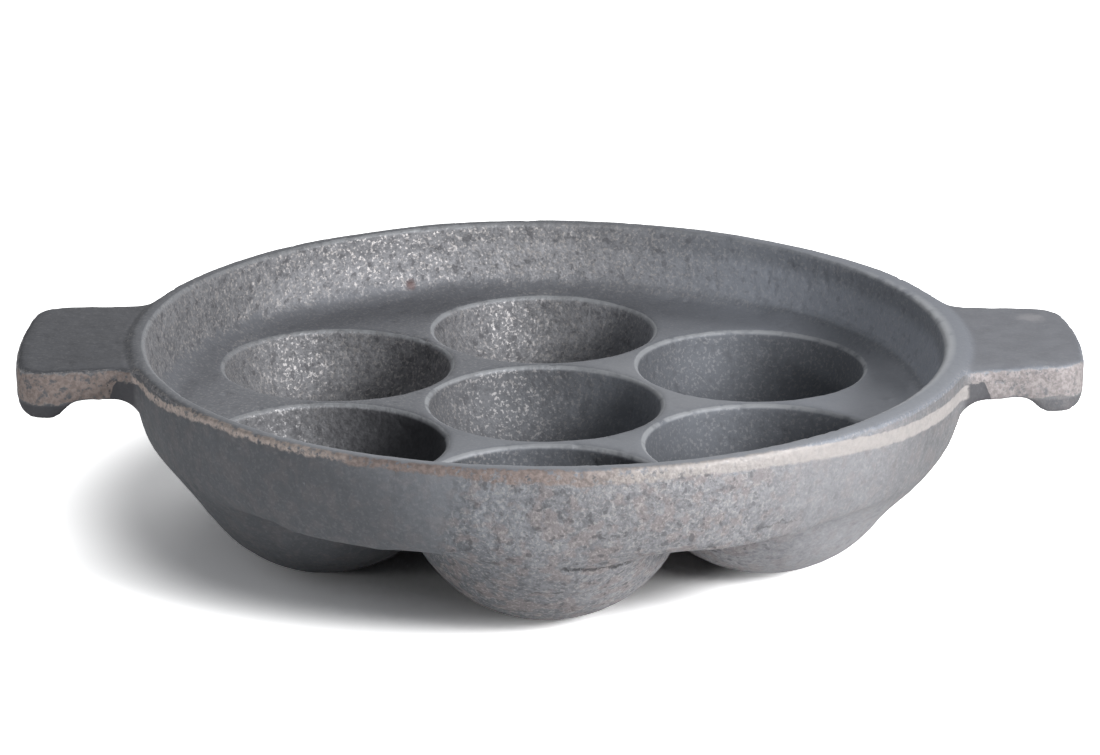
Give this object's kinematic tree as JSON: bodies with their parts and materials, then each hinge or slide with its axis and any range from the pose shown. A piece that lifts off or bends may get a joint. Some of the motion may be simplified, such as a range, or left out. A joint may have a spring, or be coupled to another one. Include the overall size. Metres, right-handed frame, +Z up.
{
  "type": "paniyaram pan",
  "caption": "Round cast iron pan with ball-shaped cups sunk in its plate, a low curved wall and two flat side handles, for cooking batter balls over a flame.",
  "frame": {"origin": "on the floor, under the middle of the middle cup", "axes": "+X towards one handle, the right-hand one in the picture; +Y away from the picture's camera; +Z up, out of the cups' mouths"},
  "size_m": [0.2712, 0.214, 0.0514],
  "materials": {
    "cast_iron": "bare sand casting, fine grained and dull, with a ground parting line and lightly worn edges"
  },
  "bodies": {
    "root": {"pan": "cast_iron"}
  },
  "joints": []
}
